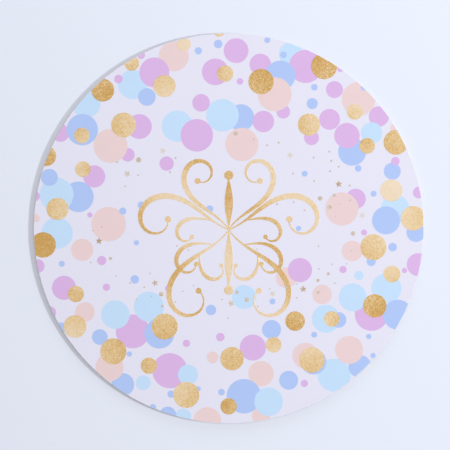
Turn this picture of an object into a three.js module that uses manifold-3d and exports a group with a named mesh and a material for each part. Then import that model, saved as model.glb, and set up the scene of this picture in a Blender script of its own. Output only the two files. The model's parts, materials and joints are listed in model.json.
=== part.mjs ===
// A round printed cake board of laminated card. Millimetres, +Z up.
// The origin is at the centre of the underside. +Y is the top of the printed face.
import * as THREE from 'three';
import { mergeVertices } from 'three/addons/utils/BufferGeometryUtils.js';
import Module from 'manifold-3d';

const wasm = await Module();
wasm.setup();

// Board
const BOARD_DIAMETER = 300;
const BOARD_THICKNESS = 3;
const EDGE_CHAMFER = 0.3;
const BOARD_SIDES = 180;

// Print, as thin fields of colour that lie on the top face
const PRINT_THICKNESS = 0.1;
const PRINT_GAP = 0.3;
const DOT_SIDES = 26;

// Diameters of the printed dots
const SMALL = 19.5;
const MEDIUM = 22;
const LARGE = 23.5;
const GREAT = 26;

// Gold scroll in the middle of the face
const STROKE_TIP_WIDTH = 0.9;
const STROKE_SWELL = 1.6;
const STROKE_STEPS = 24;
const BALL_TO_STROKE = 0.55;
const BALL_SIDES = 12;

const COLOURS = {
  white: 0xe8e8f6,
  lilac: 0xdcb0e0,
  sky: 0xc2dcf6,
  periwinkle: 0xb2cbf4,
  peach: 0xe8d0d3,
  gold: 0xd2a96d,
};

// Dots from the lowest layer of print to the highest. The artwork is drawn to the board's
// size: x and y of a centre are in hundredths of the face's radius, followed by the diameter.
// A dot covers those listed before it.
const LAYERS = [
  {
    lilac: [[39.7, 83, GREAT], [-49.3, -53, GREAT], [73.3, -44, GREAT]],
    peach: [[-28.3, 88.3, LARGE], [16.7, -74.7, SMALL]],
    sky: [
      [-49.3, 74, MEDIUM], [-73.3, 64, MEDIUM], [-26.3, 52.3, LARGE], [85.3, 10, MEDIUM],
      [54.3, -75.3, GREAT],
    ],
    periwinkle: [[6.3, 57, SMALL], [63.3, 39.3, MEDIUM], [-77.3, 16.3, LARGE]],
  },
  {
    periwinkle: [
      [26.7, 78.7, LARGE], [7.7, -86.3, GREAT], [-75.3, 50.7, LARGE], [81, 4, MEDIUM],
      [-35.7, -54, LARGE],
    ],
    sky: [
      [-88.3, 17.3, GREAT], [-3.3, 58, GREAT], [81, -30.7, LARGE], [63.7, -35.3, MEDIUM],
      [-58.3, -44.3, MEDIUM],
    ],
    lilac: [
      [-38, 80, LARGE], [-16.3, 47.7, GREAT], [60.7, 47.7, SMALL], [-7, 80.3, SMALL],
      [-46, 52.3, SMALL],
    ],
    peach: [
      [6.7, 43, GREAT], [62, -62.3, MEDIUM], [-60.7, 42.3, GREAT], [-61.7, 2, GREAT],
      [66.7, 66.3, GREAT],
    ],
  },
  {
    peach: [
      [23.7, 69, GREAT], [58, 10, GREAT], [-61.3, -71.3, MEDIUM], [-11, -99, MEDIUM],
      [39.3, -65.3, SMALL],
    ],
    sky: [[20.3, -89, MEDIUM], [-41, -40.3, LARGE], [-88, -2.3, LARGE], [50, -46.3, MEDIUM]],
    periwinkle: [[84.7, -44, LARGE]],
    lilac: [[3.7, 91.3, SMALL], [-30.3, -73, GREAT], [12.3, -61.3, SMALL]],
  },
  {
    gold: [
      [-54, 53, SMALL], [16.7, 75.3, SMALL], [49, 83.3, SMALL], [86, 44.3, SMALL], [94.7, 5.3, SMALL],
      [-95.3, -8.3, SMALL], [-33, -50.3, SMALL], [-59.3, -63.3, SMALL], [-21.7, -85.3, SMALL],
      [74.3, -9.7, SMALL], [42.7, -67.7, SMALL],
    ],
  },
];

// Strokes of the scroll's right half. Each leaves the centre or another stroke at its heading
// or turn, in degrees. Its bend changes evenly from start to end, and is given as the degrees
// that the stroke would turn over its length if it kept that bend. Lengths are in hundredths
// of the face's radius, as is the drop of the scroll's root below the centre.
const SCROLL_ROOT_DROP = 0.7;
const STROKES = {
  upper: { heading: 60, length: 69.5, startBend: -240, endBend: 895, width: 4.2 },
  side: { heading: 20, length: 80, startBend: 185, endBend: -775, width: 4.6 },
  lower: { heading: -58, length: 81.5, startBend: 225, endBend: -750, width: 4.2 },
  side_curl: { from: 'side', at: 0.125, turn: -30, length: 33, startBend: 60, endBend: -560, width: 3.2 },
  lower_curl: { from: 'lower', at: 0.14, turn: 46, length: 40, startBend: 0, endBend: -550, width: 3.4 },
  inner_curl: { from: 'lower', at: 0.24, turn: -52, length: 27, startBend: -30, endBend: -420, width: 3 },
};
const LEAVES = {
  upper_leaf: { heading: 90, length: 28, startBend: 0, endBend: 0, width: 6.5 },
  lower_leaf: { heading: -90, length: 31, startBend: 0, endBend: 0, width: 6.5 },
};

const FACE_RADIUS = BOARD_DIAMETER / 2 - EDGE_CHAMFER;
const ARTWORK_UNIT = FACE_RADIUS / 100;

function printMaterial(colour) {
  const isFoil = colour === 'gold';
  return new THREE.MeshStandardMaterial({
    color: COLOURS[colour],
    roughness: isFoil ? 0.38 : 0.5,
    metalness: isFoil ? 0.8 : 0,
  });
}

function toSolid(geometry) {
  const bare = geometry.clone();
  bare.deleteAttribute('normal');
  bare.deleteAttribute('uv');
  const merged = mergeVertices(bare);
  return new wasm.Manifold(new wasm.Mesh({
    numProp: 3,
    vertProperties: new Float32Array(merged.attributes.position.array),
    triVerts: new Uint32Array(merged.index.array),
  }));
}

function toGeometry(solid) {
  const mesh = solid.getMesh();
  const geometry = new THREE.BufferGeometry();
  geometry.setAttribute('position', new THREE.BufferAttribute(new Float32Array(mesh.vertProperties), 3));
  geometry.setIndex(new THREE.BufferAttribute(new Uint32Array(mesh.triVerts), 1));
  geometry.computeVertexNormals();
  return geometry;
}

// A thin round plate on the top face
function plate(x, y, diameter, sides) {
  const geometry = new THREE.CylinderGeometry(diameter / 2, diameter / 2, PRINT_THICKNESS, sides);
  geometry.rotateX(Math.PI / 2);
  geometry.translate(x, y, BOARD_THICKNESS + PRINT_THICKNESS / 2);
  return toSolid(geometry);
}

function board() {
  const radius = BOARD_DIAMETER / 2;
  const profile = [
    new THREE.Vector2(0, 0),
    new THREE.Vector2(FACE_RADIUS, 0),
    new THREE.Vector2(radius, EDGE_CHAMFER),
    new THREE.Vector2(radius, BOARD_THICKNESS - EDGE_CHAMFER),
    new THREE.Vector2(FACE_RADIUS, BOARD_THICKNESS),
    new THREE.Vector2(0, BOARD_THICKNESS),
  ];
  const geometry = new THREE.LatheGeometry(profile, BOARD_SIDES);
  geometry.rotateX(Math.PI / 2);
  const mesh = new THREE.Mesh(geometry, printMaterial('white'));
  mesh.name = 'board';
  return mesh;
}

// Points and headings along a stroke's centreline
function centreline(name, strokes) {
  const stroke = strokes[name];
  let x = 0;
  let y = -SCROLL_ROOT_DROP * ARTWORK_UNIT;
  let heading = THREE.MathUtils.degToRad(stroke.heading ?? 0);
  if (stroke.from) {
    const parent = centreline(stroke.from, strokes);
    const root = parent[Math.round(stroke.at * STROKE_STEPS)];
    x = root.x;
    y = root.y;
    heading = root.heading + THREE.MathUtils.degToRad(stroke.turn);
  }
  const stepLength = stroke.length * ARTWORK_UNIT / STROKE_STEPS;
  const line = [{ x, y, heading }];
  for (let step = 0; step < STROKE_STEPS; step += 1) {
    const share = (step + 0.5) / STROKE_STEPS;
    const bend = THREE.MathUtils.lerp(stroke.startBend, stroke.endBend, share);
    heading += THREE.MathUtils.degToRad(bend) / STROKE_STEPS;
    x += Math.cos(heading) * stepLength;
    y += Math.sin(heading) * stepLength;
    line.push({ x, y, heading });
  }
  return line;
}

// A stroke that swells in the middle and ends in a ball
function strokeSolid(name, strokes, mirror) {
  const stroke = strokes[name];
  const line = centreline(name, strokes);
  const left = [];
  const right = [];
  line.forEach((point, index) => {
    const swell = Math.sin(Math.PI * index / STROKE_STEPS) ** STROKE_SWELL;
    const half = THREE.MathUtils.lerp(STROKE_TIP_WIDTH, stroke.width, swell) / 2;
    const acrossX = -Math.sin(point.heading) * half;
    const acrossY = Math.cos(point.heading) * half;
    left.push(new THREE.Vector2((point.x + acrossX) * mirror, point.y + acrossY));
    right.unshift(new THREE.Vector2((point.x - acrossX) * mirror, point.y - acrossY));
  });
  const shape = new THREE.Shape([...left, ...right]);
  const geometry = new THREE.ExtrudeGeometry(shape, { depth: PRINT_THICKNESS, bevelEnabled: false });
  geometry.translate(0, 0, BOARD_THICKNESS);
  const end = line[line.length - 1];
  const ball = plate(end.x * mirror, end.y, 2 * BALL_TO_STROKE * stroke.width, BALL_SIDES);
  return toSolid(geometry).add(ball);
}

function scroll() {
  const solids = [];
  for (const name of Object.keys(LEAVES)) {
    solids.push(strokeSolid(name, LEAVES, 1));
  }
  for (const mirror of [1, -1]) {
    for (const name of Object.keys(STROKES)) {
      solids.push(strokeSolid(name, STROKES, mirror));
    }
  }
  const joined = solids.reduce((sum, solid) => sum.add(solid));
  const mesh = new THREE.Mesh(toGeometry(joined), printMaterial('gold'));
  mesh.name = 'gold_scroll';
  return mesh;
}

// Dots in layer order, each with its colour and its number within that colour
function dotList() {
  const counts = {};
  const dots = [];
  for (const layer of LAYERS) {
    for (const [colour, places] of Object.entries(layer)) {
      for (const [x, y, diameter] of places) {
        counts[colour] = (counts[colour] ?? 0) + 1;
        dots.push({
          colour,
          x: x * ARTWORK_UNIT,
          y: y * ARTWORK_UNIT,
          diameter,
          number: counts[colour],
        });
      }
    }
  }
  return dots;
}

// A dot without what covers it and what would lie past the board's edge
function dotMesh(dot, above, face) {
  let solid = plate(dot.x, dot.y, dot.diameter, DOT_SIDES).intersect(face);
  for (const other of above) {
    const reach = (dot.diameter + other.diameter) / 2 + PRINT_GAP;
    if (Math.hypot(dot.x - other.x, dot.y - other.y) < reach) {
      solid = solid.subtract(plate(other.x, other.y, other.diameter + 2 * PRINT_GAP, DOT_SIDES));
    }
  }
  const mesh = new THREE.Mesh(toGeometry(solid), printMaterial(dot.colour));
  mesh.name = `${dot.colour}_dot_${dot.number}`;
  return mesh;
}

function cakeBoard() {
  const group = new THREE.Group();
  group.add(board());
  group.add(scroll());
  const face = plate(0, 0, 2 * FACE_RADIUS, BOARD_SIDES);
  const dots = dotList();
  dots.forEach((dot, index) => {
    group.add(dotMesh(dot, dots.slice(index + 1), face));
  });
  return group;
}

export default cakeBoard();
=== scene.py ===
# A round printed cake board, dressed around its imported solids. Metres, +Z up.
import json
import math

import bpy
from bpy.props import FloatProperty, FloatVectorProperty, IntProperty, PointerProperty
from bpy.types import Operator, Panel, PropertyGroup
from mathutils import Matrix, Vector

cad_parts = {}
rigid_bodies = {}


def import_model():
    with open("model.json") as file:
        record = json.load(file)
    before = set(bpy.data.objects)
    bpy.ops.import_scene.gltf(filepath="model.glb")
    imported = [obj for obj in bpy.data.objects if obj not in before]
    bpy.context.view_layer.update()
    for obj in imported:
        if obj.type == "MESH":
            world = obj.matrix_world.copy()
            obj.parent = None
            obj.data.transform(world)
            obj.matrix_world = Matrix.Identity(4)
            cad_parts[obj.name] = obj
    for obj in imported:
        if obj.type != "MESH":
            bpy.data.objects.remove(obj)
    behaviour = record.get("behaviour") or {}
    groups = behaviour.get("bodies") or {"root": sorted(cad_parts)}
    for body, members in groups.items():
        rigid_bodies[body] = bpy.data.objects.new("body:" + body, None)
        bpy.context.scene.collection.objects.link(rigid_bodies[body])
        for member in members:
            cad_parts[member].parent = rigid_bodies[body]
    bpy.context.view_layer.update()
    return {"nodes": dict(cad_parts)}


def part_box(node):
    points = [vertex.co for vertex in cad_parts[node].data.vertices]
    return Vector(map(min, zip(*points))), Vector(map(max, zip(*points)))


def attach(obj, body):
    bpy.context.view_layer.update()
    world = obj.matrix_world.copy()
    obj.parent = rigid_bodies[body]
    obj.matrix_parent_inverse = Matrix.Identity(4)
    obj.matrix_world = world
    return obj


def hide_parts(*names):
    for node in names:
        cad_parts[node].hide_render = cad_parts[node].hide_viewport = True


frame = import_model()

bl_info = {
    "name": "Cake Board",
    "version": (1, 0, 0),
    "blender": (4, 5, 0),
    "location": "3D View > Sidebar > Cake Board",
    "description": "Finishes a round printed cake board with its print, foil and card edge",
    "category": "Object",
}

MM = 0.001
BOARD_LOW, BOARD_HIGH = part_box("board")
BOARD_RADIUS = (BOARD_HIGH.x - BOARD_LOW.x) / 2
BOARD_TOP = BOARD_HIGH.z
PRINT_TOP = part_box("gold_scroll")[1].z
ROOM_COLOUR = (0.84, 0.88, 0.97, 1)


# Print layout

# Dots from the lowest layer of print to the highest, by colour: x and y of the centre in
# hundredths of the printed face's radius, then the diameter in millimetres.
LAYERS = (
    {
        "sky": (
            (-49.3, 73.9, 22.5), (-73.2, 64.1, 22), (-26.4, 52.5, 24), (85.5, 10, 22),
            (54.2, -75.4, 25.5), (32, 89.5, 18.5),
        ),
        "periwinkle": (
            (6.3, 56.9, 20.5), (63.4, 39.4, 21.5), (-77.2, 16.2, 23.5), (96.1, -2.1, 14.5),
        ),
        "peach": (
            (-28.2, 88.4, 23), (16.6, -74.6, 19.5), (16.6, -96.4, 14), (29.5, -25.3, 16),
        ),
        "lilac": (
            (39.5, 83.2, 25.5), (-49.3, -52.9, 26), (73.3, -44.1, 25.5), (-30.2, -73.1, 27),
            (-86.4, 49, 13.5), (-51.8, 37.8, 10.5), (28, 59.9, 10.5), (65.2, 15.2, 15.5),
            (16.2, 84.2, 16.5), (77.1, 57.5, 15.5), (42.5, 46.6, 11.5),
        ),
    },
    {
        "sky": (
            (-88.4, 17.4, 26), (-3.2, 58.1, 25), (81, -30.8, 23), (63.7, -35.4, 21.5),
            (-58.2, -44.3, 22), (-41, -40.2, 23), (50, -46.4, 21.5), (-20.9, -75.1, 15.5),
            (-88.1, -2.4, 24), (73.4, 49, 16.5), (7.9, -35.3, 18.5), (-43.9, -79.3, 11.5),
            (-23.4, -96.8, 12.5), (66.9, -24.2, 7),
        ),
        "lilac": (
            (-38.2, 80.1, 23), (-16.4, 47.8, 25), (-6.9, 80.4, 20.5), (-14.2, 64.5, 13.5),
            (-45.9, 52.3, 19), (60.7, 47.6, 19.5), (51.8, 56, 16), (54.3, 71.3, 13), (12.4, -61.2, 20),
            (-69.1, 26.7, 17), (3.8, 91.3, 19), (-84.6, -30.5, 18.5), (97.3, -18.6, 17.5),
            (-31.9, 33.3, 11), (17.8, 54.9, 16.5), (-99.4, 16.5, 7.5), (-45, 89, 6), (97.6, 18.4, 9),
            (-98.1, -19.4, 10.5), (-92, -43.3, 10), (57.2, 81.8, 4.5),
        ),
        "periwinkle": (
            (26.5, 78.5, 23), (7.8, -86.2, 26.5), (-75.2, 50.7, 24), (80.8, 4.1, 21.5),
            (-35.6, -54, 23), (-92.1, 26.2, 13), (-42, 67.5, 13.5), (67.4, -70.9, 17.5),
            (-54.4, -80.2, 17.5), (56.4, -47, 12), (84, 29.4, 13), (-66.2, -55.8, 12),
            (22, -51.9, 14.5), (30.8, -78, 14.5), (43.6, -68.5, 19.5), (-86.1, -51.1, 8.5),
            (-31.3, -95.9, 13), (42.9, 64.1, 8.5), (-9.1, -41.9, 8),
        ),
        "peach": (
            (-60.7, 42.4, 26), (-61.6, 2.2, 26.5), (66.7, 66.4, 26), (6.8, 43.1, 25.5),
            (61.9, -62.4, 21.5), (-61.2, -71.3, 21.5), (-75.2, -11, 17), (-73.8, -42.9, 15),
            (-8.3, -66.2, 9), (-11, -99, 21.5), (63.4, -11.6, 16), (48, -33.9, 15), (39.4, -65.4, 20),
            (-99, 5.2, 6), (85.5, 51.5, 7.5),
        ),
    },
    {
        "peach": (
            (23.6, 68.9, 26), (58.1, 10, 25.5),
        ),
        "sky": (
            (20.5, -89, 22),
        ),
        "periwinkle": (
            (86.8, -44.3, 23), (-15.6, 91.2, 5.5), (-5.4, 94.7, 6.5), (-44.9, 12, 5.5),
            (-54.4, 8.9, 5.5), (-9.7, 10, 5.5), (19.8, 96.7, 4.5), (28.1, 89.1, 5), (44, 72.5, 5),
            (66.5, 30.8, 5), (74.4, 17.8, 4.5), (39, 28.1, 4.5), (20.5, 32.3, 3.5), (-85.7, -18.2, 4.5),
            (-51, -64.5, 4), (-29.6, -85.1, 5.5), (-15.7, -82.4, 4), (-3.7, -84.1, 5),
            (-38.9, -91.9, 5), (-48.2, -26.2, 6.5), (-47.4, -7.4, 4), (73.2, -17, 7), (84.2, -9.6, 6.5),
            (35.9, 0, 4), (22.5, -37.5, 4.5), (43.9, -54.6, 4.5), (71.9, -55.5, 4), (74.1, -65.3, 4),
            (69.3, 72.3, 4.5),
        ),
        "lilac": (
            (36.6, -21.4, 18.5), (85.6, 34.5, 6.5), (-56.6, 76.7, 6.5), (-71.3, 6.9, 4), (5.8, 75.5, 5),
            (-65.2, -16.5, 7), (-62.8, -30.2, 5.5), (-21.7, -59, 5.5), (-4.3, -55.8, 6.5),
            (-31.2, -30.8, 4.5), (90.3, -21.6, 4), (69.5, -2.1, 4.5), (58.7, -21.1, 5.5),
            (38.9, -79.6, 5.5),
        ),
    },
)

# Looks of the foil: how deep the gold is, from 0, pale champagne, to 1, deep gold, by how much
# it deepens from the middle of a dot to its rim, and how coarse its glitter is.
FOIL_LOOKS = {
    "champagne": dict(tone=0.12, fade=0.05, coarse=0.3),
    "pale": dict(tone=0.37, fade=0.12, coarse=0.5),
    "plain": dict(tone=0.47, fade=0.15, coarse=0.6),
    "rich": dict(tone=0.61, fade=0.1, coarse=0.6),
    "deep": dict(tone=0.84, fade=0.15, coarse=0.9),
    "deepest": dict(tone=1.0, fade=0.05, coarse=0.7),
}

# Gold dots by look: the place and diameter, and the heading in which the dot deepens
GOLD_DOTS = {
    "champagne": ((-23.1, 94.7, 11, 180), (83.5, 19.5, 17, 270)),
    "pale": (
        (-33, 73.1, 17, 110), (64.7, 59.9, 12, 260), (94.7, 5.2, 19, 0), (-78.9, -50.4, 17.5, 80),
        (83.8, -23.4, 13, 280), (23.1, -59.8, 12, 90),
    ),
    "plain": (
        (-49.8, 84.8, 11.5, 270), (-75.4, 47.7, 12, 130), (-54, 53.1, 19, 180),
        (-74.9, 30.4, 12, 0), (-87.9, 10, 17, 180), (-5, 101.5, 9, 180), (-1.8, 79.5, 12.5, 190),
        (41.2, 53.3, 17, 190), (-21.8, -85.5, 20, 320), (74.3, -9.6, 20, 230),
        (52.9, -46.5, 12, 0), (42.7, -67.6, 19.5, 280),
    ),
    "rich": (
        (71.1, 42.4, 12, 90), (85.9, 44.2, 19, 190), (-78.5, -33.7, 12.5, 230),
        (-32.9, -50.4, 20, 280), (-59.3, -63.2, 20, 30), (-41, -70.5, 12.5, 180),
        (1.7, -66.9, 18, 320),
    ),
    "deep": (
        (-64.7, 71, 17.5, 310), (-93.8, 37.2, 15.5, 230), (16.6, 75.4, 19.5, 45),
        (49, 83.3, 20, 135), (75, -39.8, 18, 320), (34.1, -47.6, 15, 240), (0, -91.4, 12.5, 190),
    ),
    "deepest": ((-95.3, -8.5, 19.5, 140),),
}

# Gold specks: the place and diameter
GOLD_SPECKS = (
    (-46.3, 35.2, 4), (3.5, 48.8, 3.5), (47, 15.4, 3.5), (54.2, 16.9, 2.5), (51.7, 10.8, 3.5),
    (62.2, 14.6, 2), (-34.6, -33.8, 3.5), (-60.7, -15.5, 2.5), (-34.2, -40, 2),
    (29.6, -30.4, 2.5), (9.3, -36.6, 3.5), (4.3, -32.9, 2.5), (51.1, -23.4, 2.5),
    (45.8, -26.7, 2.5), (46.1, -32.8, 2.5), (63.9, -2.6, 3.5), (-57.3, 34, 1.5),
    (-46.5, 27.3, 1.5), (-53.2, 21.7, 1.5), (-30.1, 28.9, 1.5), (-27.3, 36.1, 1.5),
    (19.7, 42.7, 1.5), (25.6, 44, 1.5), (43.6, 36.4, 1.5), (51.6, 39.4, 1.5), (52.6, 34.7, 1.5),
    (56.5, 31.7, 1.5), (52.1, 29.4, 1.5), (33.1, 28.1, 1.5), (43.9, 24.2, 1.5), (62.1, 22, 1.5),
    (33.4, 13.6, 1.5), (24.9, 12.4, 1.5), (39, 9.3, 1.5), (12.9, 45.8, 1.5),
    (57, 12.7, 1.2), (55, 6.2, 1.2), (46.1, -9.1, 1.2), (14.5, -10.7, 1.2), (-26.6, -9, 1.2),
    (-20.6, -11.2, 1.2), (-40.4, -23.1, 1.2), (-57.8, -24.4, 1.2), (-50.7, -28.1, 1.2),
    (-43.4, -30.2, 1.2), (-18.1, -29.4, 1.2), (-23.6, -32.3, 1.2), (-27.4, -37.8, 1.2),
    (-39.6, -34.8, 1.2), (-47.2, -36.4, 1.2), (-3.3, -36.5, 1.2), (-0.4, -46.1, 1.2),
    (15, -40.2, 1.2), (35, -35.6, 1.2), (21, -31.1, 1.2), (34.8, -28.5, 1.2), (40.2, -22.6, 1.2),
    (46.4, -20.8, 1.2), (53, -18.5, 1.2), (54.4, -28.1, 1.2), (60.5, -18.1, 1.2),
    (63.2, -11.5, 1.2), (-69.7, -1.1, 1.2), (-65.2, 0.7, 1.2), (-70.9, -17.5, 1.2),
)

# Five-pointed gold stars of one size, by look: the place
STAR_SIZE = 5.5
STAR_INNER_SHARE = 0.46
GOLD_STARS = {
    "champagne": ((-33.9, 39.8), (31.5, 37.6), (68.7, 6.7), (22.6, -33.6)),
    "pale": ((-52.2, 28), (1.2, -38.4)),
    "rich": ((-37.8, -28.1),),
    "deep": ((56.5, 22.7), (38.2, -31.2)),
    "deepest": ((-66.6, -6.5),),
}

# Strokes of the scroll's right half, with lengths in hundredths of the face's radius and widths
# in millimetres. Each leaves the centre, or another stroke at a share of its length, and its bend
# changes evenly along it: the degrees that it would turn over its length at that bend.
STROKES = {
    "upper": dict(heading=60, length=69.5, bends=(-240, 895), width=4.2),
    "side": dict(heading=20, length=80, bends=(185, -775), width=4.6),
    "lower": dict(heading=-58, length=81.5, bends=(225, -750), width=4.2),
    "side_curl": dict(parent="side", at=0.125, turn=-30, length=33, bends=(60, -560), width=3.2),
    "lower_curl": dict(parent="lower", at=0.14, turn=46, length=40, bends=(0, -550), width=3.4),
    "inner_curl": dict(parent="lower", at=0.24, turn=-52, length=27, bends=(-30, -420), width=3),
}
LEAVES = {
    "upper_leaf": dict(heading=90, length=28, bends=(0, 0), width=6.5),
    "lower_leaf": dict(heading=-90, length=31, bends=(0, 0), width=6.5),
}
SCROLL_ROOT_DROP = 0.7
STROKE_TIP_WIDTH = 0.9
STROKE_SWELL = 1.6
STROKE_STEPS = 96
BALL_TO_STROKE = 0.55
BALL_SIDES = 28

# Softened edge of the scroll's foil, as shares of its height and half width
FOIL_SHOULDER = 0.55
STROKE_TOP_SHARE = 0.86
BALL_TOP_SHARE = 0.9


def linear(red, green, blue):
    """A colour given in display values from 0 to 255, as the shader's own values."""
    shares = (red / 255, green / 255, blue / 255)
    return tuple(c / 12.92 if c <= 0.04045 else ((c + 0.055) / 1.055) ** 2.4 for c in shares)


def colour_property(name, description, default):
    """A colour that the user can change."""
    return FloatVectorProperty(
        name=name, description=description, subtype="COLOR", size=3, min=0, max=1, default=default
    )


class CakeBoardSettings(PropertyGroup):
    """Sizes and colours of the board."""

    edge_round: FloatProperty(
        name="Edge rounding", description="Radius of the board's pressed corner",
        default=0.3 * MM, min=0, unit="LENGTH",
    )
    board_sides: IntProperty(
        name="Board sides", description="Facets round the board's edge", default=384, min=32
    )
    dot_sides: IntProperty(
        name="Dot sides", description="Facets round a printed dot", default=72, min=8
    )
    speck_sides: IntProperty(
        name="Speck sides", description="Facets round a gold speck", default=14, min=6
    )
    ink_height: FloatProperty(
        name="Ink height", description="Height of the lowest layer of print over the face",
        default=0.012 * MM, min=0, unit="LENGTH",
    )
    white: colour_property("White", "Laminated face", linear(234, 230, 246))
    card: colour_property("Card", "Cut edge of the pressed card", linear(184, 178, 168))
    liner: colour_property("Liner", "Plain underside", linear(226, 224, 222))
    lilac: colour_property("Lilac", "Lilac ink", linear(223, 182, 231))
    sky: colour_property("Sky", "Sky blue ink", linear(200, 225, 252))
    periwinkle: colour_property("Periwinkle", "Periwinkle ink", linear(179, 200, 247))
    peach: colour_property("Peach", "Peach ink", linear(239, 211, 212))
    foil_deep: colour_property("Deep gold", "Foil at its deepest", linear(206, 158, 82))
    foil_mid: colour_property("Gold", "Foil at its plainest", linear(232, 199, 146))
    foil_pale: colour_property("Pale gold", "Foil where it fades to champagne", linear(241, 220, 195))
    fine_deep: colour_property("Deep fine gold", "Specks and stars, deep", linear(190, 158, 120))
    fine_mid: colour_property("Fine gold", "Specks and stars", linear(208, 191, 172))
    fine_pale: colour_property("Pale fine gold", "Specks and stars, pale", linear(228, 218, 207))
    floor: colour_property("Floor", "Table top", linear(237, 239, 252))


# Node graphs

class Socket:
    """A number in a node tree, on which arithmetic adds Math nodes."""

    def __init__(self, graph, socket):
        self.graph = graph
        self.socket = socket

    def _math(self, operation, *values):
        node = self.graph.add("ShaderNodeMath", {"operation": operation}, dict(enumerate(values)))
        return Socket(self.graph, node.outputs[0])

    def __add__(self, other):
        return self._math("ADD", self, other)

    def __radd__(self, other):
        return self._math("ADD", other, self)

    def __sub__(self, other):
        return self._math("SUBTRACT", self, other)

    def __rsub__(self, other):
        return self._math("SUBTRACT", other, self)

    def __mul__(self, other):
        return self._math("MULTIPLY", self, other)

    def __rmul__(self, other):
        return self._math("MULTIPLY", other, self)

    def __truediv__(self, other):
        return self._math("DIVIDE", self, other)

    def __gt__(self, other):
        return self._math("GREATER_THAN", self, other)

    def minimum(self, other):
        return self._math("MINIMUM", self, other)

    def maximum(self, other):
        return self._math("MAXIMUM", self, other)

    def root(self):
        return self._math("SQRT", self)

    def sine(self):
        return self._math("SINE", self)

    def cosine(self):
        return self._math("COSINE", self)

    def clamped(self):
        return self.graph.number("ShaderNodeClamp", None, {"Value": self, "Min": 0.0, "Max": 1.0})


class Graph:
    """A node tree that is written as calls and expressions."""

    def __init__(self, tree):
        self.tree = tree

    def add(self, kind, settings=None, inputs=None):
        """A node of this type, with its settings made first and then its sockets' values or links."""
        node = self.tree.nodes.new(kind)
        for name, value in (settings or {}).items():
            setattr(node, name, value)
        for key, value in (inputs or {}).items():
            if isinstance(value, Socket):
                value = value.socket
            if isinstance(value, bpy.types.NodeSocket):
                self.tree.links.new(value, node.inputs[key])
            else:
                node.inputs[key].default_value = value
        return node

    def number(self, kind, settings=None, inputs=None, output=0):
        """The output of a new node, ready for arithmetic."""
        return Socket(self, self.add(kind, settings, inputs).outputs[output])


def new_material(name, roughness):
    """A material with its graph and its surface shader, linked to the output."""
    material = bpy.data.materials.new(name)
    material.use_nodes = True
    material.node_tree.nodes.clear()
    graph = Graph(material.node_tree)
    surface = graph.add("ShaderNodeBsdfPrincipled", None, {"Roughness": roughness})
    graph.add("ShaderNodeOutputMaterial", None, {"Surface": surface.outputs["BSDF"]})
    return material, graph, surface


def object_point(graph, stretch=(1, 1, 1)):
    """The place on the object, stretched along its axes."""
    place = graph.add("ShaderNodeTexCoord").outputs["Object"]
    return graph.add("ShaderNodeMapping", None, {"Vector": place, "Scale": stretch}).outputs["Vector"]


def noise(graph, place, size, detail, roughness=0.5):
    """Noise from 0 to 1 whose grains are about this size."""
    inputs = {"Vector": place, "Scale": 1 / size, "Detail": detail, "Roughness": roughness}
    return graph.number("ShaderNodeTexNoise", None, inputs)


def blend_colours(graph, share, first, second):
    """The first colour turning into the second."""
    node = graph.add("ShaderNodeMix", {"data_type": "RGBA"}, {0: share, 6: first, 7: second})
    return node.outputs[2]


def shade(graph, colour, amount):
    """A colour made darker or lighter by a factor near 1."""
    grey = graph.add("ShaderNodeCombineColor", None, {0: amount, 1: amount, 2: amount}).outputs[0]
    settings = {"data_type": "RGBA", "blend_type": "MULTIPLY"}
    return graph.add("ShaderNodeMix", settings, {0: 1.0, 6: colour, 7: grey}).outputs[2]


def bump(graph, surface, height, distance, strength):
    """Relief on a surface from a height of 0 to 1."""
    inputs = {"Height": height, "Distance": distance, "Strength": strength}
    node = graph.add("ShaderNodeBump", None, inputs)
    graph.tree.links.new(node.outputs["Normal"], surface.inputs["Normal"])


def carried(graph, name):
    """A number that the mesh carries, as the shader reads it."""
    return graph.number("ShaderNodeAttribute", {"attribute_name": name}, None, 2)


def opaque(colour):
    """A colour of three values as one of four."""
    return (*colour, 1.0)


def laminate_relief(graph, place):
    """The faint orange peel of film pressed over card, with the card's fibre under it."""
    return noise(graph, place, 1.1 * MM, 3.0) * 0.7 + noise(graph, place, 7 * MM, 2.0) * 0.3


def ink_material(name, colour):
    """Flat ink under a satin film, a little uneven from place to place."""
    material, graph, surface = new_material(name, 0.42)
    place = object_point(graph)
    cloud = noise(graph, place, 14 * MM, 3.0)
    fibre = noise(graph, place, 0.7 * MM, 3.0)
    tone = 0.965 + cloud * 0.045 + fibre * 0.025
    graph.tree.links.new(shade(graph, opaque(colour), tone), surface.inputs["Base Color"])
    rough = 0.38 + fibre * 0.1
    graph.tree.links.new(rough.socket, surface.inputs["Roughness"])
    bump(graph, surface, laminate_relief(graph, place), 0.02 * MM, 0.35)
    return material


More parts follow.
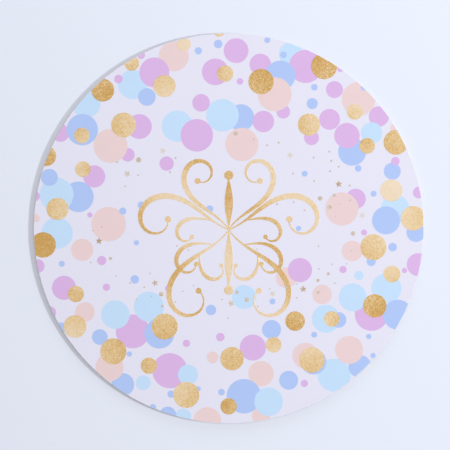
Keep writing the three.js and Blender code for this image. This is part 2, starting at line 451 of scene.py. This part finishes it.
def card_material(settings):
    """The board: laminated face, cut edge of pressed plies and plain lined underside."""
    material, graph, surface = new_material("laminated_card", 0.45)
    place = object_point(graph)
    height = graph.number("ShaderNodeSeparateXYZ", None, {"Vector": place}, 2)
    rounding = settings.edge_round
    on_face = height > BOARD_TOP - 0.85 * rounding
    on_edge = (height > 0.5 * rounding) * (1 - on_face)

    cloud = noise(graph, place, 40 * MM, 3.0)
    fibre = noise(graph, place, 0.6 * MM, 4.0, 0.6)
    face = shade(graph, opaque(settings.white), 0.985 + cloud * 0.02 + fibre * 0.012)

    fleck = noise(graph, object_point(graph, (1, 1, 3)), 1.6 * MM, 5.0, 0.7)
    liner = shade(graph, opaque(settings.liner), 0.93 + fleck * 0.1 + fibre * 0.03)

    ply = noise(graph, object_point(graph, (0.12, 0.12, 1)), 0.32 * MM, 2.0)
    torn = noise(graph, place, 0.5 * MM, 5.0, 0.65)
    edge = shade(graph, opaque(settings.card), 0.8 + ply * 0.24 + torn * 0.14)

    colour = blend_colours(graph, on_edge, blend_colours(graph, on_face, liner, face), edge)
    graph.tree.links.new(colour, surface.inputs["Base Color"])
    rough = 0.55 - 0.13 * on_face + 0.3 * on_edge + fibre * 0.06
    graph.tree.links.new(rough.socket, surface.inputs["Roughness"])
    relief = laminate_relief(graph, place) * 0.25 + on_edge * (ply * 0.9 + torn * 0.6)
    bump(graph, surface, relief, 0.09 * MM, 0.5)
    return material


def foil_material(name, pale, mid, deep):
    """Printed gold foil: a fine glitter grain over a slow fade from deep gold to champagne."""
    material, graph, surface = new_material(name, 0.38)
    place = object_point(graph)
    tone = carried(graph, "tone")
    turn = carried(graph, "turn")
    coarse = carried(graph, "coarse")
    local = graph.add("ShaderNodeAttribute", {"attribute_name": "local"}).outputs["Vector"]
    along = graph.number("ShaderNodeSeparateXYZ", None, {"Vector": local}, 0)
    across = graph.number("ShaderNodeSeparateXYZ", None, {"Vector": local}, 1)
    sweep = along * turn.cosine() + across * turn.sine()

    blotch = noise(graph, place, 5 * MM, 2.0)
    grain = noise(graph, place, 0.9 * MM, 2.0, 0.7)
    flakes = {"Vector": place, "Scale": 1 / (0.6 * MM)}
    flake = graph.add("ShaderNodeTexVoronoi", None, flakes).outputs["Color"]
    sparkle = graph.number("ShaderNodeSeparateColor", None, {"Color": flake}, 0)
    glitter = (sparkle - 0.5) * 0.75 + (grain - 0.5) * 1.2
    depth = tone + sweep * carried(graph, "fade") + (blotch - 0.5) * 0.3 + glitter * coarse

    light_share = graph.number("ShaderNodeMapRange", None, {"Value": depth, "From Max": 0.5})
    deep_share = graph.number("ShaderNodeMapRange", None, {"Value": depth, "From Min": 0.5})
    light = blend_colours(graph, light_share, opaque(pale), opaque(mid))
    colour = blend_colours(graph, deep_share, light, opaque(deep))
    graph.tree.links.new(colour, surface.inputs["Base Color"])
    metal = 0.3 + 0.35 * depth.clamped()
    graph.tree.links.new(metal.socket, surface.inputs["Metallic"])
    rough = 0.34 + grain * 0.1 + sparkle * 0.12
    graph.tree.links.new(rough.socket, surface.inputs["Roughness"])
    bump(graph, surface, grain * 0.4 + sparkle * 0.6, 0.05 * MM, 0.3)
    return material


def seen_directly(graph):
    """1 where the camera sees a place, itself or in a reflection, and 0 where it only gives light."""
    path = graph.add("ShaderNodeLightPath").outputs
    mirrored = Socket(graph, path["Is Glossy Ray"]).maximum(path["Is Transmission Ray"])
    return mirrored.maximum(path["Is Camera Ray"])


def floor_material(settings):
    """The pale matt table top, which turns into the room's colour well away from the board."""
    material, graph, surface = new_material("table_top", 0.9)
    place = object_point(graph)
    cloud = noise(graph, place, 400 * MM, 2.0)
    grain = noise(graph, place, 2 * MM, 3.0)
    tone = 0.99 + cloud * 0.012 + grain * 0.006
    graph.tree.links.new(shade(graph, opaque(settings.floor), tone), surface.inputs["Base Color"])

    near, far = 2.5 * BOARD_RADIUS, 7 * BOARD_RADIUS
    across = graph.number("ShaderNodeVectorMath", {"operation": "LENGTH"}, {0: place}, "Value")
    away = ((across - near) / (far - near)).clamped()
    share = away * seen_directly(graph)
    room = graph.add("ShaderNodeEmission", None, {"Color": ROOM_COLOUR}).outputs[0]
    mixed = {0: share, 1: surface.outputs["BSDF"], 2: room}
    finished = graph.add("ShaderNodeMixShader", None, mixed).outputs[0]
    graph.tree.links.new(finished, graph.tree.get_output_node("ALL").inputs["Surface"])
    return material


# Shapes

def show(name, mesh, material, slot, nodes):
    """Puts a finished mesh in the scene as a piece that stands for these solids."""
    piece = bpy.data.objects.new(name, mesh)
    bpy.context.scene.collection.objects.link(piece)
    mesh.materials.clear()
    mesh.materials.append(material)
    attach(piece, "root")
    if nodes:
        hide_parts(*nodes)


def solids_named(start):
    """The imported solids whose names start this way."""
    return [name for name in frame["nodes"] if name.startswith(start)]


def face_radius(settings):
    """The radius of the flat printed face."""
    return BOARD_RADIUS - settings.edge_round


def board_mesh(settings):
    """A disc with rounded corners, turned from one profile."""
    round_by = settings.edge_round
    arc_steps = 5
    profile = []
    for centre_z, start in ((round_by, -90), (BOARD_TOP - round_by, 0)):
        for step in range(arc_steps + 1):
            angle = math.radians(start + 90 * step / arc_steps)
            radius = BOARD_RADIUS - round_by + round_by * math.cos(angle)
            profile.append((radius, centre_z + round_by * math.sin(angle)))
    sides = settings.board_sides
    points = []
    for radius, z in profile:
        for side in range(sides):
            angle = 2 * math.pi * side / sides
            points.append((radius * math.cos(angle), radius * math.sin(angle), z))
    faces = []
    for row in range(len(profile) - 1):
        for side in range(sides):
            here = row * sides + side
            beside = row * sides + (side + 1) % sides
            faces.append((here, beside, beside + sides, here + sides))
    top_start = (len(profile) - 1) * sides
    faces.append(tuple(reversed(range(sides))))
    faces.append(tuple(range(top_start, top_start + sides)))
    mesh = bpy.data.meshes.new("board")
    mesh.from_pydata(points, [], faces)
    smooth = [True] * (len(faces) - 2) + [False] * 2
    mesh.polygons.foreach_set("use_smooth", smooth)
    return mesh


def tree_input(tree, name, kind):
    """A named input of a Geometry Nodes tree."""
    return tree.interface.new_socket(name, in_out="INPUT", socket_type=kind)


def scatter_tree(name, shape):
    """A tree that stands a thin closed shape on each point, trimmed at the edge of the face."""
    tree = bpy.data.node_groups.new(name, "GeometryNodeTree")
    tree_input(tree, "Geometry", "NodeSocketGeometry")
    tree_input(tree, "Sides", "NodeSocketInt")
    tree_input(tree, "Face Radius", "NodeSocketFloat")
    tree_input(tree, "Material", "NodeSocketMaterial")
    tree.interface.new_socket("Geometry", in_out="OUTPUT", socket_type="NodeSocketGeometry")
    graph = Graph(tree)
    given = graph.add("NodeGroupInput").outputs

    stored = {"Geometry": shape(graph, given["Sides"]), "Name": "local",
              "Value": graph.add("GeometryNodeInputPosition").outputs[0]}
    settings = {"data_type": "FLOAT_VECTOR", "domain": "POINT"}
    marked = graph.add("GeometryNodeStoreNamedAttribute", settings, stored).outputs[0]

    radius = named_number(graph, "radius")
    height = named_number(graph, "height")
    scale = graph.add("ShaderNodeCombineXYZ", None, {0: radius, 1: radius, 2: height}).outputs[0]
    spin = named_number(graph, "spin")
    rotation = graph.add("ShaderNodeCombineXYZ", None, {2: spin}).outputs[0]
    copies = graph.add("GeometryNodeInstanceOnPoints", None, {
        "Points": given["Geometry"], "Instance": marked, "Rotation": rotation, "Scale": scale,
    }).outputs[0]
    real = graph.add("GeometryNodeRealizeInstances", None, {"Geometry": copies}).outputs[0]

    place = graph.add("GeometryNodeInputPosition").outputs[0]
    parts = graph.add("ShaderNodeSeparateXYZ", None, {"Vector": place}).outputs
    x, y = Socket(graph, parts[0]), Socket(graph, parts[1])
    reach = (x * x + y * y).root()
    keep = (Socket(graph, given["Face Radius"]) / reach).minimum(1.0)
    trimmed = graph.add("ShaderNodeCombineXYZ", None, {0: x * keep, 1: y * keep, 2: parts[2]})
    moved = graph.add("GeometryNodeSetPosition", None, {
        "Geometry": real, "Position": trimmed.outputs[0],
    }).outputs[0]
    finished = graph.add("GeometryNodeSetMaterial", None, {
        "Geometry": moved, "Material": given["Material"],
    }).outputs[0]
    graph.add("NodeGroupOutput", None, {"Geometry": finished})
    return tree


def named_number(graph, name):
    """A number that each point carries."""
    return graph.number("GeometryNodeInputNamedAttribute", {"data_type": "FLOAT"}, {"Name": name})


def disc_shape(graph, sides):
    """A closed disc of radius 1 that stands on the face, 1 high."""
    inputs = {"Vertices": sides, "Radius": 1.0, "Depth": 1.0}
    disc = graph.add("GeometryNodeMeshCylinder", {"fill_type": "TRIANGLE_FAN"}, inputs)
    lifted = {"Geometry": disc.outputs["Mesh"], "Translation": (0, 0, 0.5)}
    return graph.add("GeometryNodeTransform", None, lifted).outputs[0]


def star_shape(graph, sides):
    """A closed five-pointed star of radius 1 that stands on the face, 1 high."""
    weld_distance = 0.0001
    inputs = {"Points": sides, "Inner Radius": STAR_INNER_SHARE, "Outer Radius": 1.0}
    outline = graph.add("GeometryNodeCurveStar", None, inputs).outputs[0]
    flat = graph.add("GeometryNodeFillCurve", None, {"Curve": outline}).outputs[0]
    inputs = {"Mesh": flat, "Offset": (0, 0, 1), "Offset Scale": 1.0, "Individual": False}
    raised = graph.add("GeometryNodeExtrudeMesh", {"mode": "FACES"}, inputs).outputs[0]
    under = graph.add("GeometryNodeFlipFaces", None, {"Mesh": flat}).outputs[0]
    joined = graph.add("GeometryNodeJoinGeometry")
    graph.tree.links.new(raised, joined.inputs[0])
    graph.tree.links.new(under, joined.inputs[0])
    merged = {"Geometry": joined.outputs[0], "Distance": weld_distance}
    return graph.add("GeometryNodeMergeByDistance", None, merged).outputs[0]


def socket_identifier(tree, name):
    """The identifier under which a modifier keeps this input."""
    for item in tree.interface.items_tree:
        if item.item_type == "SOCKET" and item.in_out == "INPUT" and item.name == name:
            return item.identifier
    raise ValueError(f"the tree has no input named {name}")


DOT_NUMBERS = ("radius", "height", "spin", "tone", "turn", "fade", "coarse")


def scattered_mesh(name, dots, tree, sides, settings, material):
    """The plain mesh of one print colour: a thin shape for each dot."""
    unit = face_radius(settings) / 100
    points = bpy.data.meshes.new(name + "_points")
    points.from_pydata([(dot["x"] * unit, dot["y"] * unit, BOARD_TOP) for dot in dots], [], [])
    for key in DOT_NUMBERS:
        attribute = points.attributes.new(key, "FLOAT", "POINT")
        attribute.data.foreach_set("value", [dot.get(key, 0.0) for dot in dots])
    carrier = bpy.data.objects.new(name + "_points", points)
    bpy.context.scene.collection.objects.link(carrier)
    modifier = carrier.modifiers.new("Scatter", "NODES")
    modifier.node_group = tree
    modifier[socket_identifier(tree, "Sides")] = sides
    modifier[socket_identifier(tree, "Face Radius")] = face_radius(settings)
    modifier[socket_identifier(tree, "Material")] = material
    depsgraph = bpy.context.evaluated_depsgraph_get()
    evaluated = carrier.evaluated_get(depsgraph)
    mesh = bpy.data.meshes.new_from_object(
        evaluated, preserve_all_data_layers=True, depsgraph=depsgraph
    )
    mesh.name = name
    bpy.data.objects.remove(carrier)
    return mesh


def ink_dots(settings):
    """Every inked dot by colour, each as high as its layer, so that a later one covers it."""
    by_colour = {}
    share_below_foil = 0.8
    ranks = sum(len(layer) for layer in LAYERS)
    room = (PRINT_TOP - BOARD_TOP) * share_below_foil - settings.ink_height
    rank = 0
    for layer in LAYERS:
        for colour, dots in layer.items():
            height = settings.ink_height + room * rank / ranks
            rank += 1
            for x, y, diameter in dots:
                dot = {"x": x, "y": y, "radius": diameter / 2 * MM, "height": height}
                by_colour.setdefault(colour, []).append(dot)
    return by_colour


def foil_dots(dots_by_look):
    """Gold dots, all as high as the print goes, each deepening in its own heading."""
    made = []
    for look, dots in dots_by_look.items():
        for x, y, diameter, heading in dots:
            dot = {"x": x, "y": y, "radius": diameter / 2 * MM, "height": PRINT_TOP - BOARD_TOP}
            made.append({**dot, **FOIL_LOOKS[look], "turn": math.radians(heading)})
    return made


def foil_sprinkles(sprinkles_by_look):
    """Gold specks or stars, each with a turn of its own."""
    golden_angle = 137.5
    made = []
    for look, sprinkles in sprinkles_by_look.items():
        for x, y, size in sprinkles:
            heading = len(made) * golden_angle
            made += foil_dots({look: [(x, y, size, heading)]})
            made[-1]["spin"] = math.radians(heading)
    return made


# Scroll

def centreline(name, strokes, unit):
    """Points and headings along the middle of a stroke."""
    stroke = strokes[name]
    x, y = 0.0, -SCROLL_ROOT_DROP * unit
    heading = math.radians(stroke.get("heading", 0))
    if "parent" in stroke:
        parent = centreline(stroke["parent"], strokes, unit)
        x, y, parent_heading = parent[round(stroke["at"] * STROKE_STEPS)]
        heading = parent_heading + math.radians(stroke["turn"])
    step_length = stroke["length"] * unit / STROKE_STEPS
    first, last = stroke["bends"]
    line = [(x, y, heading)]
    for step in range(STROKE_STEPS):
        share = (step + 0.5) / STROKE_STEPS
        heading += math.radians(first + (last - first) * share) / STROKE_STEPS
        x += math.cos(heading) * step_length
        y += math.sin(heading) * step_length
        line.append((x, y, heading))
    return line


def stroke_shell(line, width, mirror, height, points, faces):
    """Adds a stroke that swells in the middle, with a flat top and softened edges."""
    side = ((1, 0), (1, FOIL_SHOULDER), (STROKE_TOP_SHARE, 1))
    section = side + tuple((-across, up) for across, up in reversed(side))
    start = len(points)
    for index, (x, y, heading) in enumerate(line):
        swell = math.sin(math.pi * index / STROKE_STEPS) ** STROKE_SWELL
        half = (STROKE_TIP_WIDTH + (width - STROKE_TIP_WIDTH) * swell) / 2 * MM
        for across, up in section:
            px = x - math.sin(heading) * half * across
            py = y + math.cos(heading) * half * across
            points.append((px * mirror, py, BOARD_TOP + up * height))
    ring = len(section)
    shell = []
    for index in range(len(line) - 1):
        for corner in range(ring):
            here = start + index * ring + corner
            beside = start + index * ring + (corner + 1) % ring
            shell.append((here, beside, beside + ring, here + ring))
    last = start + (len(line) - 1) * ring
    shell.append(tuple(start + corner for corner in reversed(range(ring))))
    shell.append(tuple(last + corner for corner in range(ring)))
    faces.extend(shell if mirror > 0 else [tuple(reversed(face)) for face in shell])


def ball_shell(x, y, radius, height, points, faces):
    """Adds the round end of a stroke, a low disc with a softened edge."""
    sides = BALL_SIDES
    start = len(points)
    rings = ((1, 0), (1, FOIL_SHOULDER), (BALL_TOP_SHARE, 1))
    for share, up in rings:
        for side in range(sides):
            angle = 2 * math.pi * side / sides
            px, py = x + radius * share * math.cos(angle), y + radius * share * math.sin(angle)
            points.append((px, py, BOARD_TOP + up * height))
    for row in range(len(rings) - 1):
        for side in range(sides):
            here = start + row * sides + side
            beside = start + row * sides + (side + 1) % sides
            faces.append((here, beside, beside + sides, here + sides))
    faces.append(tuple(start + side for side in reversed(range(sides))))
    faces.append(tuple(start + (len(rings) - 1) * sides + side for side in range(sides)))


def scroll_mesh(settings):
    """The mirrored scroll, with each stroke a closed shell a little lower than the one before."""
    step_down = 0.015
    ball_height_share = 0.99
    middle_tone, tone_swing, coarseness = 0.52, 0.3, 0.6
    waves_x, waves_y = 70, 55
    unit = face_radius(settings) / 100
    points, faces = [], []
    drawn = [(name, LEAVES, 1) for name in LEAVES]
    drawn += [(name, STROKES, mirror) for mirror in (1, -1) for name in STROKES]
    for number, (name, strokes, mirror) in enumerate(drawn):
        height = (PRINT_TOP - BOARD_TOP) * (1 - step_down * number)
        line = centreline(name, strokes, unit)
        width = strokes[name]["width"]
        stroke_shell(line, width, mirror, height, points, faces)
        x, y, _ = line[-1]
        radius = BALL_TO_STROKE * width * MM
        ball_shell(x * mirror, y, radius, height * ball_height_share, points, faces)
    mesh = bpy.data.meshes.new("gold_scroll_foil")
    mesh.from_pydata(points, [], faces)
    tones = [
        middle_tone + tone_swing * math.sin(waves_x * x + waves_y * y) for x, y, _ in points
    ]
    for key, values in (("tone", tones), ("coarse", [coarseness] * len(points))):
        mesh.attributes.new(key, "FLOAT", "POINT").data.foreach_set("value", values)
    return mesh


# Operators

class CAKEBOARD_OT_board(Operator):
    """Makes the laminated card disc"""

    bl_idname = "cakeboard.board"
    bl_label = "Board"

    def execute(self, context):
        settings = context.scene.cake_board
        material = card_material(settings)
        show("board_card", board_mesh(settings), material, "board_card", ["board"])
        return {"FINISHED"}


class CAKEBOARD_OT_ink(Operator):
    """Prints the coloured dots, layer over layer"""

    bl_idname = "cakeboard.ink"
    bl_label = "Coloured Dots"

    def execute(self, context):
        settings = context.scene.cake_board
        tree = scatter_tree("Printed Dots", disc_shape)
        for colour, dots in ink_dots(settings).items():
            material = ink_material(colour + "_ink", getattr(settings, colour))
            name = colour + "_dots"
            mesh = scattered_mesh(name, dots, tree, settings.dot_sides, settings, material)
            show(name, mesh, material, colour + "_print", solids_named(colour + "_dot_"))
        return {"FINISHED"}


class CAKEBOARD_OT_foil(Operator):
    """Stamps the gold dots, specks, stars and scroll"""

    bl_idname = "cakeboard.foil"
    bl_label = "Gold Foil"

    def execute(self, context):
        settings = context.scene.cake_board
        foil = foil_material("gold_foil", settings.foil_pale, settings.foil_mid, settings.foil_deep)
        fine = foil_material("fine_foil", settings.fine_pale, settings.fine_mid, settings.fine_deep)
        discs = scatter_tree("Foil Dots", disc_shape)
        stars = scatter_tree("Foil Stars", star_shape)
        star_points = 5
        placed_stars = {
            look: [(x, y, STAR_SIZE) for x, y in places] for look, places in GOLD_STARS.items()
        }
        scatters = (
            ("gold_dots", foil_dots(GOLD_DOTS), discs, settings.dot_sides, foil),
            ("gold_specks", foil_sprinkles({"plain": GOLD_SPECKS}), discs, settings.speck_sides, fine),
            ("gold_stars", foil_sprinkles(placed_stars), stars, star_points, fine),
        )
        for name, dots, tree, sides, material in scatters:
            mesh = scattered_mesh(name, dots, tree, sides, settings, material)
            nodes = solids_named("gold_dot_") if name == "gold_dots" else []
            show(name, mesh, material, "gold_foil", nodes)
        show("gold_scroll_foil", scroll_mesh(settings), foil, "gold_foil", ["gold_scroll"])
        return {"FINISHED"}


class CAKEBOARD_OT_stage(Operator):
    """Sets up the table top, the lights and the camera straight above the board"""

    bl_idname = "cakeboard.stage"
    bl_label = "Stage"

    def execute(self, context):
        scene = context.scene
        add_floor(scene)
        add_lights(scene)
        add_camera(scene)
        scene.view_settings.view_transform = "Standard"
        return {"FINISHED"}


def add_floor(scene):
    """A wide flat table top under the board."""
    reach = 4.0
    mesh = bpy.data.meshes.new("table_top")
    corners = [(-reach, -reach, 0), (reach, -reach, 0), (reach, reach, 0), (-reach, reach, 0)]
    mesh.from_pydata(corners, [], [(0, 1, 2, 3)])
    mesh.materials.append(floor_material(scene.cake_board))
    floor = bpy.data.objects.new("table_top", mesh)
    scene.collection.objects.link(floor)


def add_lamp(scene, name, place, power, colour, **sizes):
    """An area lamp that is turned towards the middle of the face."""
    data = bpy.data.lights.new(name, "AREA")
    data.energy = power
    data.color = colour
    for key, value in sizes.items():
        setattr(data, key, value)
    lamp = bpy.data.objects.new(name, data)
    lamp.location = place
    towards_face = Vector((0, 0, BOARD_TOP)) - Vector(place)
    lamp.rotation_euler = towards_face.to_track_quat("-Z", "Y").to_euler()
    scene.collection.objects.link(lamp)
    return lamp


def add_lights(scene):
    """A low key light from the right, soft lamps beyond the top and overhead, and a pale room."""
    key_rise = math.radians(34)
    key_swing = math.radians(-5)
    key_distance = 2.6
    key_place = (
        key_distance * math.cos(key_rise) * math.cos(key_swing),
        key_distance * math.cos(key_rise) * math.sin(key_swing),
        key_distance * math.sin(key_rise),
    )
    add_lamp(
        scene, "key", key_place, power=35.5, colour=(0.91, 0.96, 1.0), shape="DISK", size=0.16
    )
    window = add_lamp(
        scene, "window", (0.2, 1.25, 0.45), power=5.2, colour=(0.9, 0.96, 1.0),
        shape="RECTANGLE", size=1.4, size_y=0.5,
    )
    ceiling = add_lamp(
        scene, "ceiling", (0.1, 0.15, 1.9), power=9.6, colour=(0.9, 0.95, 1.0),
        shape="RECTANGLE", size=1.2, size_y=1.2,
    )
    # Mirrored in the foil and the film, the soft lamps would make glaring patches.
    for soft in (window, ceiling):
        soft.visible_glossy = False
    light_room(scene)


def light_room(scene):
    """A room that looks pale and gives only a dim, slightly warm light."""
    light = {"Color": (1.0, 0.985, 0.93, 1), "Strength": 0.38}
    world = bpy.data.worlds.new("room")
    world.use_nodes = True
    world.node_tree.nodes.clear()
    graph = Graph(world.node_tree)
    seen = seen_directly(graph)
    dim = graph.add("ShaderNodeBackground", None, light)
    pale = graph.add("ShaderNodeBackground", None, {"Color": ROOM_COLOUR, "Strength": 1.0})
    mixed = graph.add("ShaderNodeMixShader", None, {0: seen, 1: dim.outputs[0], 2: pale.outputs[0]})
    graph.add("ShaderNodeOutputWorld", None, {"Surface": mixed.outputs[0]})
    scene.world = world


def add_camera(scene):
    """A long lens straight above the board, which sits a little off the middle of the frame."""
    frame_pixels = 450
    board_radius_pixels = 195.1
    board_centre_pixels = (228.75, 228.37)
    distance = 1.3
    metres_per_pixel = BOARD_RADIUS / board_radius_pixels
    data = bpy.data.cameras.new("camera")
    data.lens = data.sensor_width * distance / (metres_per_pixel * frame_pixels)
    camera = bpy.data.objects.new("camera", data)
    right = (frame_pixels / 2 - board_centre_pixels[0]) * metres_per_pixel
    up = (board_centre_pixels[1] - frame_pixels / 2) * metres_per_pixel
    camera.location = (right, up, BOARD_TOP + distance)
    scene.collection.objects.link(camera)
    scene.camera = camera


class CAKEBOARD_PT_panel(Panel):
    """Shows the board's sizes and colours, with a button for each step"""

    bl_idname = "CAKEBOARD_PT_panel"
    bl_label = "Cake Board"
    bl_space_type = "VIEW_3D"
    bl_region_type = "UI"
    bl_category = "Cake Board"

    def draw(self, context):
        settings = context.scene.cake_board
        for name in CakeBoardSettings.__annotations__:
            self.layout.prop(settings, name)
        for operator in OPERATORS:
            self.layout.operator(operator.bl_idname)


OPERATORS = (CAKEBOARD_OT_board, CAKEBOARD_OT_ink, CAKEBOARD_OT_foil, CAKEBOARD_OT_stage)
CLASSES = (CakeBoardSettings, *OPERATORS, CAKEBOARD_PT_panel)


def register():
    for item in CLASSES:
        bpy.utils.register_class(item)
    bpy.types.Scene.cake_board = PointerProperty(type=CakeBoardSettings)


def unregister():
    del bpy.types.Scene.cake_board
    for item in reversed(CLASSES):
        bpy.utils.unregister_class(item)


def main():
    register()
    bpy.ops.cakeboard.board()
    bpy.ops.cakeboard.ink()
    bpy.ops.cakeboard.foil()
    bpy.ops.cakeboard.stage()


if __name__ == "__main__":
    main()
